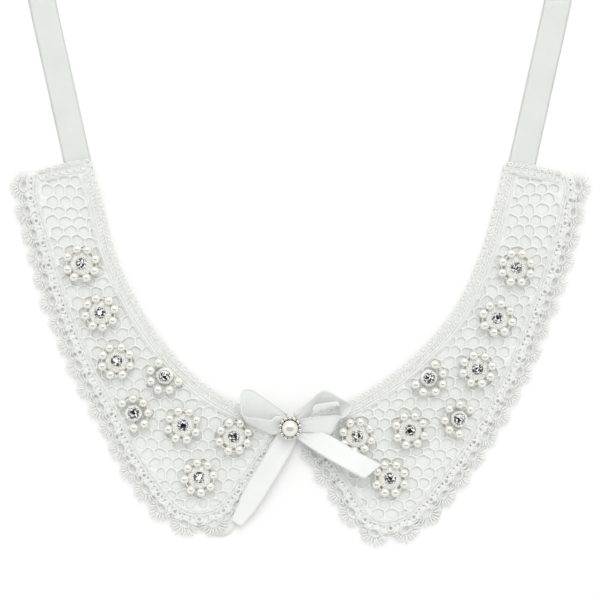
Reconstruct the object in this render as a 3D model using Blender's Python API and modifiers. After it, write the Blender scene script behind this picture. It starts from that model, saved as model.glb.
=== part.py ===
"""A lace collar in two halves, laid flat, with pearl flowers, ribbon ties, and a bow with a button.

It lies on its satin linings. +Z is up, +Y runs to the ribbon ties, and the origin is under the middle
of its box.
"""

import math
import random

import bmesh
import bpy
import numpy as np

MM = 0.001

# Heights, in millimetres above what the collar lies on
LINING_Z = (0.0, 1.0)
LACE_Z = (1.3, 2.5)
TRIM_Z = 2.8

# Lace, in millimetres
CELL_PITCH = 5.4
CELL_ROW = 4.7
CELL_RADIUS = (2.33, 2.5)
CELL_SHIFT = 0.22
NECK_BAND = 6.6
TOP_BAND = 4.2
EDGE_BAND = 1.3
CELL_FROM_STONE = 7.2
PICOT_PITCH = 3.7
PICOT_RISE = 1.0
FAN_PITCH = 10.6
FAN_CENTRE = 4.8
FAN_SPIKES = 5
FAN_TIP = 5.9
FAN_NOTCH = 3.9
FAN_SPREAD = 52.0
FAN_VALLEY = 2.6
FAN_HOLE = (2.3, 1.7)
FANS_START = 1.5
FANS_END_BEFORE = 9.0

# Lining, in millimetres past the lace's sewn edge
LINING_PAST_EDGE = 3.0
LINING_SHOWS_WIDTH = 7.0
LINING_INSIDE_NECK = 1.5
LINING_BELOW_TOP = 6.0

# Ribbon, in millimetres
RIBBON_WIDTH = 12.0
RIBBON_WALL = 1.0
TIE_END_SLANT = 4.0

# Pearls, stones and button, in millimetres
PEARL = 4.2
PEARL_SIDES = 6
PEARL_RING = 6.7
PEARL_FLAT = 0.95
THREAD = 1.2
STONE = 4.8
STONE_HEIGHT = 2.4
BUTTON_X, BUTTON_Y = -4.5, -57.7
KNOT_RADIUS = 4.2
KNOT_TOP = 6.9
CUP_RADIUS = 5.1
CUP_Z = (7.2, 9.2)
CUP_FLOOR = 8.2
BUTTON_PEARL = 7.8
BUTTON_PEARL_HEIGHT = 5.6

# Each half's neckline from the bow up to the ribbon, its top, and its sewn edge down and round to the bow.
# Columns: x, y in millimetres, with +X to the right and +Y to the ribbon ends.
LEFT_NECK = [
    (-2.2, -57.6), (-12.5, -55.0), (-24.5, -49.5), (-41.6, -40.0), (-58.2, -24.5),
    (-73.0, -3.4), (-84.3, 20.9), (-90.7, 45.9), (-95.9, 63.6),
]
LEFT_TOP = [(-95.9, 63.6), (-108.0, 61.5), (-119.6, 58.4)]
LEFT_EDGE = [
    (-119.6, 58.4), (-120.9, 51.0), (-119.3, 41.5), (-114.9, 26.4), (-109.1, 5.0), (-101.4, -15.0),
    (-93.5, -33.4), (-83.2, -52.0), (-72.5, -73.2), (-60.2, -90.2), (-51.4, -96.8), (-42.7, -97.3),
    (-35.9, -94.1), (-30.5, -87.1), (-23.2, -76.6), (-16.4, -67.0), (-10.4, -60.6), (-2.2, -59.6),
]
RIGHT_NECK = [
    (-0.9, -57.6), (7.3, -53.6), (15.0, -50.7), (24.5, -45.7), (45.5, -31.4), (67.7, -8.9),
    (82.3, 19.5), (90.9, 49.5), (93.6, 62.3),
]
RIGHT_TOP = [(93.6, 62.3), (107.0, 60.5), (119.6, 57.6)]
RIGHT_EDGE = [
    (119.6, 57.6), (121.6, 50.5), (119.6, 41.5), (117.4, 31.5), (112.4, 13.4), (104.9, -7.0),
    (96.8, -27.8), (85.8, -49.0), (74.2, -68.5), (60.6, -86.4), (49.0, -98.2), (38.5, -101.9),
    (30.5, -97.9), (24.4, -88.2), (17.4, -77.8), (11.2, -68.2), (5.8, -61.2), (-0.9, -59.4),
]

# Where a stretch of each lining shows past the lace. Values: x, y, how far past the sewn edge.
LINING_SHOWS = {"left": (-37.5, -97.5, 12.2), "right": (55.0, -92.5, 10.4)}

# Centre line of the left ribbon tie, from under the lace outwards. The right one mirrors it. Columns: x, y.
TIE = [
    (-100.1, 57.3), (-109.4, 99.4), (-117.5, 136.4), (-122.8, 168.0), (-124.8, 205.0), (-125.0, 252.0),
]

# Flowers of pearls round a stone. Columns: half, number, x, y, angle of the first pearl in degrees, pearls.
FLOWERS = [
    ("left", 1, -99.1, 16.4, 20.0, 8),
    ("left", 2, -90.7, -5.9, 12.0, 8),
    ("left", 3, -83.2, -27.7, 24.0, 8),
    ("left", 4, -61.4, -34.5, 112.0, 6),
    ("left", 5, -75.5, -51.4, -90.0, 6),
    ("left", 6, -53.2, -56.8, 18.0, 8),
    ("left", 7, -30.0, -62.0, 21.0, 8),
    ("left", 8, -45.7, -80.5, 8.0, 8),
    ("right", 1, 98.2, 14.5, 22.0, 8),
    ("right", 2, 89.5, -8.2, 30.0, 8),
    ("right", 3, 80.5, -31.4, 14.0, 8),
    ("right", 4, 58.6, -35.5, -158.0, 6),
    ("right", 5, 72.3, -54.1, 45.0, 6),
    ("right", 6, 50.0, -59.1, 26.0, 8),
    ("right", 7, 25.9, -61.8, 31.0, 8),
    ("right", 8, 40.9, -80.9, 20.0, 8),
]

# The bow's ribbons, as stations along each. Columns: x, y, z of the upper edge, then x, y, z of the lower edge.
LEFT_LOOP = [
    (-8.4, -54.1, 5.9, -9.1, -56.4, 5.1),
    (-13.6, -45.9, 8.5, -14.5, -54.5, 4.4),
    (-22.3, -40.5, 9.0, -20.9, -50.9, 4.2),
    (-26.1, -41.4, 9.2, -23.6, -50.5, 4.0),
    (-26.6, -46.8, 10.4, -23.9, -52.7, 3.8),
    (-25.0, -52.7, 11.6, -23.2, -54.8, 3.8),
    (-19.1, -54.3, 11.6, -18.4, -57.0, 3.8),
    (-13.6, -56.9, 9.8, -13.9, -59.8, 3.8),
    (-9.2, -58.4, 6.2, -8.6, -60.0, 4.0),
]
RIGHT_LOOP = [
    (-1.8, -53.9, 5.9, -0.4, -55.2, 5.1),
    (3.6, -46.4, 10.4, 5.0, -52.7, 4.0),
    (10.5, -40.7, 12.4, 6.1, -47.5, 3.8),
    (17.3, -42.7, 12.4, 12.7, -46.1, 3.8),
    (22.9, -46.4, 11.6, 17.3, -45.6, 3.8),
    (21.8, -51.8, 11.4, 18.6, -49.6, 4.2),
    (17.3, -51.2, 11.0, 15.9, -57.6, 4.6),
    (11.4, -52.1, 10.4, 10.0, -57.5, 5.0),
    (4.5, -53.2, 9.0, 4.5, -57.3, 5.0),
    (0.2, -57.7, 6.2, -0.2, -59.6, 4.4),
]
LEFT_TAIL = [
    (-7.5, -61.6, 3.8, -4.6, -62.8, 3.9),
    (-13.2, -66.4, 4.2, -5.0, -70.9, 5.4),
    (-20.0, -79.1, 3.6, -11.8, -81.8, 6.2),
    (-25.9, -90.9, 3.5, -18.4, -90.9, 5.2),
    (-31.4, -100.0, 3.4, -27.5, -103.2, 3.6),
]
RIGHT_TAIL = [
    (-1.1, -60.9, 4.4, -3.2, -62.9, 4.4),
    (5.5, -59.6, 6.4, 0.9, -63.9, 6.9),
    (13.6, -61.8, 7.9, 8.2, -67.7, 9.5),
    (25.5, -68.2, 7.9, 19.1, -74.5, 10.6),
    (37.3, -75.5, 7.9, 29.3, -80.7, 9.6),
]

# Columns: name, colour, roughness, metallic
FINISHES = [
    ("lining satin", (0.90, 0.91, 0.89), 0.45, 0.0),
    ("white lace", (0.95, 0.95, 0.93), 0.85, 0.0),
    ("ribbon satin", (0.93, 0.94, 0.93), 0.40, 0.0),
    ("pearl", (0.93, 0.92, 0.86), 0.25, 0.0),
    ("cut stone", (0.85, 0.87, 0.90), 0.05, 0.0),
    ("dark metal", (0.40, 0.36, 0.27), 0.30, 1.0),
]


def clear_scene():
    for obj in list(bpy.data.objects):
        bpy.data.objects.remove(obj)


def make_finishes():
    finishes = {}
    for name, colour, roughness, metallic in FINISHES:
        finish = bpy.data.materials.new(name)
        finish.use_nodes = True
        shader = finish.node_tree.nodes["Principled BSDF"]
        shader.inputs["Base Color"].default_value = (*colour, 1.0)
        shader.inputs["Roughness"].default_value = roughness
        shader.inputs["Metallic"].default_value = metallic
        finishes[name] = finish
    return finishes


def smooth_line(points, per_span=12):
    """A smooth curve through the given points, in any number of dimensions."""
    points = np.array(points, float)
    ends = np.vstack([2 * points[0] - points[1], points, 2 * points[-1] - points[-2]])
    share = np.linspace(0, 1, per_span, endpoint=False)[:, None]
    spans = []
    for before, start, end, after in zip(ends, ends[1:], ends[2:], ends[3:]):
        spans.append(
            0.5
            * (
                2 * start
                + (end - before) * share
                + (2 * before - 5 * start + 4 * end - after) * share**2
                + (3 * start - before - 3 * end + after) * share**3
            )
        )
    return np.vstack(spans + [points[-1:]])


def lengths_along(line):
    steps = np.linalg.norm(np.diff(line, axis=0), axis=1)
    return np.concatenate([[0], np.cumsum(steps)])


def on_line(line, at, side):
    """Places at the given lengths along a line, with the direction along it and the one out of the cloth."""
    along = lengths_along(line)
    place = np.column_stack([np.interp(at, along, line[:, axis]) for axis in (0, 1)])
    tangent = np.gradient(line, along, axis=0)
    tangent = np.column_stack([np.interp(at, along, tangent[:, axis]) for axis in (0, 1)])
    tangent /= np.linalg.norm(tangent, axis=1)[:, None]
    outward = side * np.column_stack([tangent[:, 1], -tangent[:, 0]])
    return place, tangent, outward


def moved_out(line, by, side):
    place, _, outward = on_line(line, lengths_along(line), side)
    return place + outward * np.reshape(by, (-1, 1))


def nearest(points, line):
    """How far each point is from a line given by its many points."""
    return np.linalg.norm(points[:, None, :] - line[None, :, :], axis=2).min(axis=1)


def is_inside(point, loop):
    """Whether a point lies in a closed loop, by counting crossings."""
    x, y = point
    crossings = 0
    for (x0, y0), (x1, y1) in zip(loop, np.roll(loop, -1, axis=0)):
        if (y0 > y) != (y1 > y) and x < x0 + (y - y0) * (x1 - x0) / (y1 - y0):
            crossings += 1
    return crossings % 2 == 1


def picot_line(line, side):
    """A line of small picot scallops that stand out of a band's edge."""
    along = lengths_along(line)[-1]
    count = round(along / PICOT_PITCH)
    pitch = along / count
    at = np.arange(2 * count) * pitch / 2
    rise = np.tile([0.0, PICOT_RISE], count)
    place, _, outward = on_line(line, at, side)
    return place + outward * rise[:, None]


def fan_places(line):
    """The lengths along the sewn edge at the middle of each fan, and at the valleys between fans."""
    along = lengths_along(line)[-1] - FANS_START - FANS_END_BEFORE
    count = round(along / FAN_PITCH)
    pitch = along / count
    return FANS_START + (np.arange(count) + 0.5) * pitch, FANS_START + np.arange(count + 1) * pitch


def fan_outline(middle, tangent, outward):
    """One fan of the edging: spikes and notches round the fan's hole."""
    centre = middle + outward * FAN_CENTRE
    points = []
    for step in range(2 * FAN_SPIKES - 1):
        angle = math.radians(FAN_SPREAD * (step / (FAN_SPIKES - 1) - 1))
        reach = FAN_NOTCH if step % 2 else FAN_TIP
        points.append(centre + (outward * math.cos(angle) + tangent * math.sin(angle)) * reach)
    return points


def ellipse(centre, across, out, sides, start=0.0):
    turns = start + np.arange(sides) / sides * 2 * math.pi
    return centre + np.outer(np.cos(turns), across) + np.outer(np.sin(turns), out)


class Half:
    """The lines of one half of the collar: neckline, top and sewn edge."""

    def __init__(self, name, side, neck, top, edge):
        self.name = name
        self.side = side
        self.neck = smooth_line(neck)
        self.top = smooth_line(top)
        self.edge = smooth_line(edge)
        self.loop = np.vstack([self.neck[:-1], self.top[:-1], self.edge])
        self.stones = np.array([(x, y) for half, _, x, y, _, _ in FLOWERS if half == name])

    def fans(self):
        return list(zip(*on_line(self.edge, fan_places(self.edge)[0], self.side)))

    def valleys(self):
        place, _, outward = on_line(self.edge, fan_places(self.edge)[1], self.side)
        return place + outward * FAN_VALLEY

    def lace_outline(self):
        points = list(picot_line(self.neck, self.side))
        points += list(picot_line(self.top, self.side))
        valleys = self.valleys()
        for valley, fan in zip(valleys, self.fans()):
            points.append(valley)
            points += fan_outline(*fan)
        points += [valleys[-1], self.edge[-1]]
        return points

    def fan_holes(self):
        wide, deep = FAN_HOLE
        return [
            ellipse(middle + outward * FAN_CENTRE, tangent * wide, outward * deep, 6)
            for middle, tangent, outward in self.fans()
        ]

    def net_cells(self):
        """The net's rounded cells, in staggered rows, a little uneven. Behind a stone the net is left whole."""
        chance = random.Random(7)
        low, high = self.loop.min(axis=0), self.loop.max(axis=0)
        rows = int((high[1] - low[1]) / CELL_ROW) + 1
        columns = int((high[0] - low[0]) / CELL_PITCH) + 1
        cells = []
        for row in range(rows):
            for column in range(columns):
                x = low[0] + (column + 0.5 * (row % 2)) * CELL_PITCH
                y = low[1] + row * CELL_ROW
                shift = [chance.uniform(-CELL_SHIFT, CELL_SHIFT) for _ in range(2)]
                radius = chance.uniform(*CELL_RADIUS)
                centre = np.array([x + shift[0], y + shift[1]])
                if self.has_room(centre, radius):
                    cells.append(self.cell(centre, radius))
        return cells

    def has_room(self, centre, radius):
        here = centre[None, :]
        return (
            nearest(here, self.neck)[0] > NECK_BAND + radius
            and nearest(here, self.top)[0] > TOP_BAND + radius
            and nearest(here, self.edge)[0] > EDGE_BAND + radius
            and nearest(here, self.stones)[0] > CELL_FROM_STONE
            and is_inside(centre, self.loop)
        )

    def cell(self, centre, radius):
        return ellipse(centre, np.array([radius, 0]), np.array([0, radius]), 6, math.pi / 6)

    def lining_outline(self):
        neck = moved_out(self.neck[::4], -LINING_INSIDE_NECK, self.side)
        top = moved_out(self.top[::4], -LINING_BELOW_TOP, self.side)
        edge = self.edge[::6]
        at = lengths_along(edge)
        *place, reach = LINING_SHOWS[self.name]
        shows = at[np.linalg.norm(edge - place, axis=1).argmin()]
        bulge = np.exp(-(((at - shows) / LINING_SHOWS_WIDTH) ** 2))
        past = LINING_PAST_EDGE + bulge * (reach - LINING_PAST_EDGE)
        past *= np.clip((at[-1] - at) / FANS_END_BEFORE, 0, 1)
        edge = moved_out(edge, past, self.side)
        below = np.array([y < top[:, 1].max() for y in neck[:, 1]])
        beside = np.array([y < top[:, 1].min() for y in edge[:, 1]])
        return np.vstack([neck[below], top[1:-1], edge[beside]])


def add_piece(collection, name, mesh, finish):
    mesh.name = name
    obj = bpy.data.objects.new(name, mesh)
    obj.data.materials.clear()
    obj.data.materials.append(finish)
    collection.objects.link(obj)
    return obj


def cut_sheet(collection, name, outline, holes, heights, finish):
    """A flat sheet cut to an outline, with holes right through it, between two heights."""
    low, high = heights
    curve = bpy.data.curves.new(name, "CURVE")
    curve.dimensions = "2D"
    curve.fill_mode = "BOTH"
    curve.extrude = (high - low) / 2 * MM
    for loop in [outline, *holes]:
        spline = curve.splines.new("POLY")
        spline.points.add(len(loop) - 1)
        for point, (x, y) in zip(spline.points, loop):
            point.co = (x * MM, y * MM, 0, 1)
        spline.use_cyclic_u = True
    guide = bpy.data.objects.new(name, curve)
    collection.objects.link(guide)
    mesh = bpy.data.meshes.new_from_object(guide.evaluated_get(bpy.context.evaluated_depsgraph_get()))
    bpy.data.objects.remove(guide)
    shape = bmesh.new()
    shape.from_mesh(mesh)
    bmesh.ops.remove_doubles(shape, verts=shape.verts, dist=0.002 * MM)
    bmesh.ops.translate(shape, verts=shape.verts, vec=(0, 0, (low + high) / 2 * MM))
    bmesh.ops.recalc_face_normals(shape, faces=shape.faces)
    shape.to_mesh(mesh)
    shape.free()
    return add_piece(collection, name, mesh, finish)


def ribbon(collection, name, stations, per_span, finish):
    """A ribbon through its stations, each an upper and a lower edge point, with a wall of even thickness."""
    edges = smooth_line(stations, per_span)
    shape = bmesh.new()
    rows = []
    for edge in edges:
        upper, lower = edge[:3], edge[3:]
        rows.append([shape.verts.new((upper + (lower - upper) * share) * MM) for share in (0, 0.5, 1)])
    for row, following in zip(rows, rows[1:]):
        for n in range(2):
            shape.faces.new((row[n], row[n + 1], following[n + 1], following[n]))
    mesh = bpy.data.meshes.new(name)
    shape.to_mesh(mesh)
    shape.free()
    mesh.shade_smooth()
    obj = add_piece(collection, name, mesh, finish)
    wall = obj.modifiers.new("wall", "SOLIDIFY")
    wall.thickness = RIBBON_WALL * MM
    wall.offset = 0
    return obj


def ribbon_tie(collection, name, mirror, finish):
    """A flat ribbon on the floor, butted against the lining and cut on the slant at its end."""
    line = smooth_line(TIE, 3)
    right = moved_out(line, RIBBON_WIDTH / 2, 1)
    left = moved_out(line, -RIBBON_WIDTH / 2, 1)
    right[-1, 1] += TIE_END_SLANT
    outline = np.vstack([right, left[::-1]]) * (mirror, 1)
    cut_sheet(collection, name, outline, [], LINING_Z, finish)


def pearl_flower(collection, name, x, y, start, pearls, finish):
    """Pearls threaded on a ring round a stone, or on an open arc where two are missing."""
    seat = PEARL / 2 * PEARL_FLAT * math.cos(math.pi / PEARL_SIDES)
    curve = bpy.data.curves.new(name, "CURVE")
    curve.dimensions = "3D"
    curve.bevel_depth = PEARL / 2 * MM
    curve.bevel_resolution = PEARL_SIDES // 2 - 2
    curve.use_fill_caps = True
    step = 2 * math.pi / 8
    bulge = 0.17 * step
    ring = pearls == 8
    beads = []
    for n in range(pearls):
        middle = math.radians(start) + n * step
        beads += [(middle - bulge, PEARL_FLAT), (middle + bulge, PEARL_FLAT)]
        if ring or n < pearls - 1:
            beads.append((middle + step / 2, THREAD / PEARL))
    if not ring:
        beads.insert(0, (math.radians(start) - 2.2 * bulge, THREAD / PEARL))
        beads.append((math.radians(start) + (pearls - 1) * step + 2.2 * bulge, THREAD / PEARL))
    spline = curve.splines.new("POLY")
    spline.points.add(len(beads) - 1)
    for point, (turn, radius) in zip(spline.points, beads):
        point.co = (
            (x + PEARL_RING * math.cos(turn)) * MM,
            (y + PEARL_RING * math.sin(turn)) * MM,
            (TRIM_Z + seat) * MM,
            1,
        )
        point.radius = radius
    spline.use_cyclic_u = ring
    obj = bpy.data.objects.new(name, curve)
    obj.data.materials.append(finish)
    collection.objects.link(obj)


def turned(collection, name, profile, steps, finish):
    """A round piece turned about the button's middle from a profile of radius and height."""
    shape = bmesh.new()
    verts = [shape.verts.new((radius * MM, 0, height * MM)) for radius, height in profile]
    for start, end in zip(verts, verts[1:]):
        shape.edges.new((start, end))
    bmesh.ops.spin(
        shape, geom=shape.verts[:] + shape.edges[:], axis=(0, 0, 1), cent=(0, 0, 0),
        angle=2 * math.pi, steps=steps, use_merge=True,
    )
    bmesh.ops.remove_doubles(shape, verts=shape.verts, dist=0.01 * MM)
    bmesh.ops.recalc_face_normals(shape, faces=shape.faces)
    bmesh.ops.translate(shape, verts=shape.verts, vec=(BUTTON_X * MM, BUTTON_Y * MM, 0))
    mesh = bpy.data.meshes.new(name)
    shape.to_mesh(mesh)
    shape.free()
    mesh.shade_smooth()
    return add_piece(collection, name, mesh, finish)


def cut_stone(collection, name, x, y, finish):
    """A faceted stone: a straight girdle under a crown with a flat table."""
    shape = bmesh.new()
    crown = STONE_HEIGHT * 0.45
    girdle = STONE_HEIGHT - crown
    bmesh.ops.create_cone(
        shape, cap_ends=True, segments=8, radius1=STONE / 2 * MM, radius2=STONE / 2 * MM, depth=girdle * MM
    )
    top = max(shape.faces, key=lambda face: face.calc_center_median().z)
    table = bmesh.ops.extrude_face_region(shape, geom=[top])
    raised = [part for part in table["geom"] if isinstance(part, bmesh.types.BMVert)]
    bmesh.ops.delete(shape, geom=[top], context="FACES_ONLY")
    bmesh.ops.scale(shape, vec=(0.6, 0.6, 1), verts=raised)
    bmesh.ops.translate(shape, vec=(0, 0, crown * MM), verts=raised)
    bmesh.ops.translate(shape, verts=shape.verts, vec=(x * MM, y * MM, (TRIM_Z + girdle / 2) * MM))
    bmesh.ops.recalc_face_normals(shape, faces=shape.faces)
    mesh = bpy.data.meshes.new(name)
    shape.to_mesh(mesh)
    shape.free()
    add_piece(collection, name, mesh, finish)


def button(collection, finishes):
    """The knot under the button, the metal cup on it, and the pearl in the cup."""
    turned(
        collection, "bow_knot",
        [(0, TRIM_Z), (KNOT_RADIUS - 0.8, TRIM_Z), (KNOT_RADIUS, TRIM_Z + 1.2), (KNOT_RADIUS, KNOT_TOP - 1.0),
         (KNOT_RADIUS - 0.8, KNOT_TOP), (0, KNOT_TOP)],
        14, finishes["ribbon satin"],
    )
    low, high = CUP_Z
    turned(
        collection, "button_setting",
        [(0, low), (CUP_RADIUS - 0.7, low), (CUP_RADIUS, low + 0.7), (CUP_RADIUS, high - 0.3),
         (CUP_RADIUS - 0.4, high), (CUP_RADIUS - 0.9, high - 0.3), (CUP_RADIUS - 1.1, CUP_FLOOR), (0, CUP_FLOOR)],
        20, finishes["dark metal"],
    )
    arc = np.linspace(-math.pi / 2, math.pi / 2, 8)
    middle = CUP_FLOOR + 0.3 + BUTTON_PEARL_HEIGHT / 2
    turned(
        collection, "button_pearl",
        [(BUTTON_PEARL / 2 * math.cos(turn), middle + BUTTON_PEARL_HEIGHT / 2 * math.sin(turn)) for turn in arc],
        16, finishes["pearl"],
    )


def centre_over_floor(collection):
    """Moves every piece so that the origin is under the middle of the whole collar's box."""
    bpy.context.view_layer.update()
    graph = bpy.context.evaluated_depsgraph_get()
    corners = []
    for obj in collection.objects:
        mesh = obj.evaluated_get(graph).to_mesh()
        corners += [vertex.co.copy() for vertex in mesh.vertices]
    corners = np.array(corners)
    middle = (corners.min(axis=0) + corners.max(axis=0)) / 2
    for obj in collection.objects:
        obj.location = (-middle[0], -middle[1], 0)


def main():
    clear_scene()
    finishes = make_finishes()
    collection = bpy.data.collections.new("lace_collar")
    bpy.context.scene.collection.children.link(collection)
    halves = [
        Half("left", 1, LEFT_NECK, LEFT_TOP, LEFT_EDGE),
        Half("right", -1, RIGHT_NECK, RIGHT_TOP, RIGHT_EDGE),
    ]
    for half in halves:
        cut_sheet(
            collection, f"lining_{half.name}", half.lining_outline(), [], LINING_Z, finishes["lining satin"]
        )
        cells = half.net_cells()
        holes = half.fan_holes()
        print(half.name, "cells", len(cells), "fans", len(holes))
        cut_sheet(
            collection, f"lace_{half.name}", half.lace_outline(), cells + holes, LACE_Z, finishes["white lace"]
        )
    ribbon_tie(collection, "ribbon_tie_left", 1, finishes["ribbon satin"])
    ribbon_tie(collection, "ribbon_tie_right", -1, finishes["ribbon satin"])
    for name, stations, per_span in (
        ("bow_loop_left", LEFT_LOOP, 3),
        ("bow_loop_right", RIGHT_LOOP, 3),
        ("bow_tail_left", LEFT_TAIL, 4),
        ("bow_tail_right", RIGHT_TAIL, 4),
    ):
        ribbon(collection, name, stations, per_span, finishes["ribbon satin"])
    button(collection, finishes)
    for half, number, x, y, start, pearls in FLOWERS:
        pearl_flower(collection, f"pearls_{half}_{number}", x, y, start, pearls, finishes["pearl"])
        cut_stone(collection, f"stone_{half}_{number}", x, y, finishes["cut stone"])
    centre_over_floor(collection)


main()
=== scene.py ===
# %% [markdown]
# # A lace collar, laid flat
#
# This lesson dresses the plain solids of a lace collar: satin linings, guipure lace with a fan
# edging, ribbon ties, flowers of pearls round cut stones, and a ribbon bow under a pearl button.
# Every piece is drawn in millimetres round the middle of the picture, and then moved to its place.

# %% Load the frame
import math
import random

import bmesh
import bpy
import numpy as np
from mathutils import Matrix, Vector, noise


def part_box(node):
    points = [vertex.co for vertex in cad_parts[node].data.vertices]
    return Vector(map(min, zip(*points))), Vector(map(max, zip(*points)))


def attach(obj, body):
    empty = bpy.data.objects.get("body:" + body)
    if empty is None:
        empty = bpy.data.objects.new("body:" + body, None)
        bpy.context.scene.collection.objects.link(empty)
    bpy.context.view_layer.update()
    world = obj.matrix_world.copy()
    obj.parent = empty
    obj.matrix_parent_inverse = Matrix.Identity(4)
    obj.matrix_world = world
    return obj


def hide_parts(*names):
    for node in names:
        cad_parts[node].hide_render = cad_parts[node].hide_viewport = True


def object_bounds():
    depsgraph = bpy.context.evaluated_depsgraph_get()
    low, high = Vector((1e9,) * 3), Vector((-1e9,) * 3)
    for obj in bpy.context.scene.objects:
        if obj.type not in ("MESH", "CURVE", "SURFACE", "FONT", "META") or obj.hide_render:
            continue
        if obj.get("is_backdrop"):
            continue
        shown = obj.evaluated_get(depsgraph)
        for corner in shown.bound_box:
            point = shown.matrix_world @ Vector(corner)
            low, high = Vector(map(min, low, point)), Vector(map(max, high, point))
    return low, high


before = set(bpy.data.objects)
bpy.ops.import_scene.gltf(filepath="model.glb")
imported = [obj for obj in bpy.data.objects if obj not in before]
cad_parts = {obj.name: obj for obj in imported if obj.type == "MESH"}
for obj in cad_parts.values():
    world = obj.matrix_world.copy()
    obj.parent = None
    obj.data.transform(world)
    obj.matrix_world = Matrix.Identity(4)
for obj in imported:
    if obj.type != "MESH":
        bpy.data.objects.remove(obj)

cad_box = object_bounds()
scene = bpy.context.scene
print("the solids reach", [round(1000 * (high - low)) for low, high in zip(*cad_box)], "mm")

# %% [markdown]
# ## Where things are
#
# The button's pearl is a piece that both the picture and the solids have, so the step between the
# two origins is read from it. After that, one function can move any drawing into place.

# %% The step from the drawing to the frame
MM = 0.001
BUTTON = (-4.5, -57.7)
pearl_low, pearl_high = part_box("button_pearl")
shift = Vector((*((pearl_low + pearl_high) / 2).xy, 0)) - Vector((*BUTTON, 0)) * MM
print("the drawing's origin lies at", [round(v / MM, 2) for v in shift], "mm")

# %% Heights in millimetres above what the collar lies on
LINING_TOP = 1.0
LACE_Z = (1.1, 1.95)
CORD_Z = 1.85
PEARL_Z = 4.3
KNOT_Z = (2.8, 7.0)

# %% [markdown]
# ## Camera
#
# The collar is seen straight from above, so the camera hangs over the middle of the picture and
# looks down. A long lens keeps the raised bow from leaning outwards.

# %% Hang the camera
PICTURE_WIDTH = 600 / 2.2
LENS, SENSOR = 100.0, 36.0
camera_data = bpy.data.cameras.new("camera")
camera_data.lens = LENS
camera_data.sensor_width = SENSOR
camera = bpy.data.objects.new("camera", camera_data)
camera.location = shift + Vector((0, 0, PICTURE_WIDTH * LENS / SENSOR + 2.0)) * MM
scene.collection.objects.link(camera)
scene.camera = camera
print("the camera hangs at", [round(v, 3) for v in camera.location])

# %% [markdown]
# ## The lines of the pattern
#
# A collar is cut in two halves. Each has a neckline, a short top where the ribbon starts, and a long
# outer edge where the fan edging is sewn on. A few points are enough, because a smooth curve runs
# through them. Everything else, from the cords to the last picot, is measured off these lines.

# %% The two halves in millimetres
NECKS = {
    "left": [
        (-2.2, -57.6), (-12.5, -55.0), (-24.5, -49.5), (-41.6, -40.0), (-58.2, -24.5),
        (-73.0, -3.4), (-84.3, 20.9), (-90.7, 45.9), (-95.9, 63.6),
    ],
    "right": [
        (-0.9, -57.6), (7.3, -51.6), (15.0, -49.2), (24.5, -45.4), (45.5, -31.4), (67.7, -8.9),
        (82.3, 19.5), (90.9, 49.5), (93.6, 62.3),
    ],
}
TOPS = {
    "left": [(-95.9, 63.6), (-108.0, 61.5), (-119.6, 58.4)],
    "right": [(93.6, 62.3), (107.0, 60.5), (119.6, 57.6)],
}
EDGES = {
    "left": [
        (-119.6, 58.4), (-120.9, 51.0), (-119.3, 41.5), (-114.9, 26.4), (-109.1, 5.0),
        (-101.4, -15.0), (-93.5, -33.4), (-83.2, -52.0), (-72.5, -73.2), (-60.2, -90.2),
        (-51.4, -96.8), (-42.7, -97.3), (-35.9, -94.1), (-30.5, -87.1), (-23.2, -76.6),
        (-16.4, -67.0), (-10.4, -60.6), (-2.2, -59.6),
    ],
    "right": [
        (119.6, 57.6), (121.6, 50.5), (119.6, 41.5), (117.4, 31.5), (112.4, 13.4), (104.9, -7.0),
        (96.8, -27.8), (85.8, -49.0), (74.2, -68.5), (60.6, -86.4), (49.0, -98.2), (38.5, -101.9),
        (30.5, -97.9), (24.4, -88.2), (17.4, -77.8), (11.2, -68.2), (5.8, -61.2), (-0.9, -59.4),
    ],
}

# %% Smooth lines and places along them
def smooth_line(points, per_span=12):
    points = np.array(points, float)
    ends = np.vstack([2 * points[0] - points[1], points, 2 * points[-1] - points[-2]])
    share = np.linspace(0, 1, per_span, endpoint=False)[:, None]
    spans = []
    for before, start, end, after in zip(ends, ends[1:], ends[2:], ends[3:]):
        rise = (end - before) * share
        bend = (2 * before - 5 * start + 4 * end - after) * share**2
        turn = (3 * start - before - 3 * end + after) * share**3
        spans.append(0.5 * (2 * start + rise + bend + turn))
    return np.vstack(spans + [points[-1:]])


def lengths_along(line):
    return np.concatenate([[0], np.cumsum(np.linalg.norm(np.diff(line, axis=0), axis=1))])


def on_line(line, at, side):
    """Places at the given lengths, the direction along the line, and the one out of the cloth."""
    along = lengths_along(line)
    place = np.column_stack([np.interp(at, along, line[:, axis]) for axis in (0, 1)])
    slope = np.gradient(line, along, axis=0)
    tangent = np.column_stack([np.interp(at, along, slope[:, axis]) for axis in (0, 1)])
    tangent /= np.linalg.norm(tangent, axis=1)[:, None]
    return place, tangent, side * np.column_stack([tangent[:, 1], -tangent[:, 0]])


def moved_out(line, by, side):
    place, _, outward = on_line(line, lengths_along(line), side)
    return place + outward * np.reshape(by, (-1, 1))


class Half:
    """One half of the collar: its three lines, and which way is out of the cloth."""

    def __init__(self, name, side):
        self.name = name
        self.side = side
        self.neck = smooth_line(NECKS[name])
        self.top = smooth_line(TOPS[name])
        self.edge = smooth_line(EDGES[name])


halves = [Half("left", 1), Half("right", -1)]
for half in halves:
    print(half.name, "neckline", round(lengths_along(half.neck)[-1]), "mm, edge",
          round(lengths_along(half.edge)[-1]), "mm")

# %% [markdown]
# ## Helpers for making pieces
#
# A drawing is a bmesh in millimetres. `settle` scales it to metres, moves it over the solids, and
# makes it a piece that rides on the collar. Lace is full of small things that repeat, so `stamp` puts
# a copy of a small mesh into a drawing. Long round cords come from a curve with a bevel.

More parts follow.
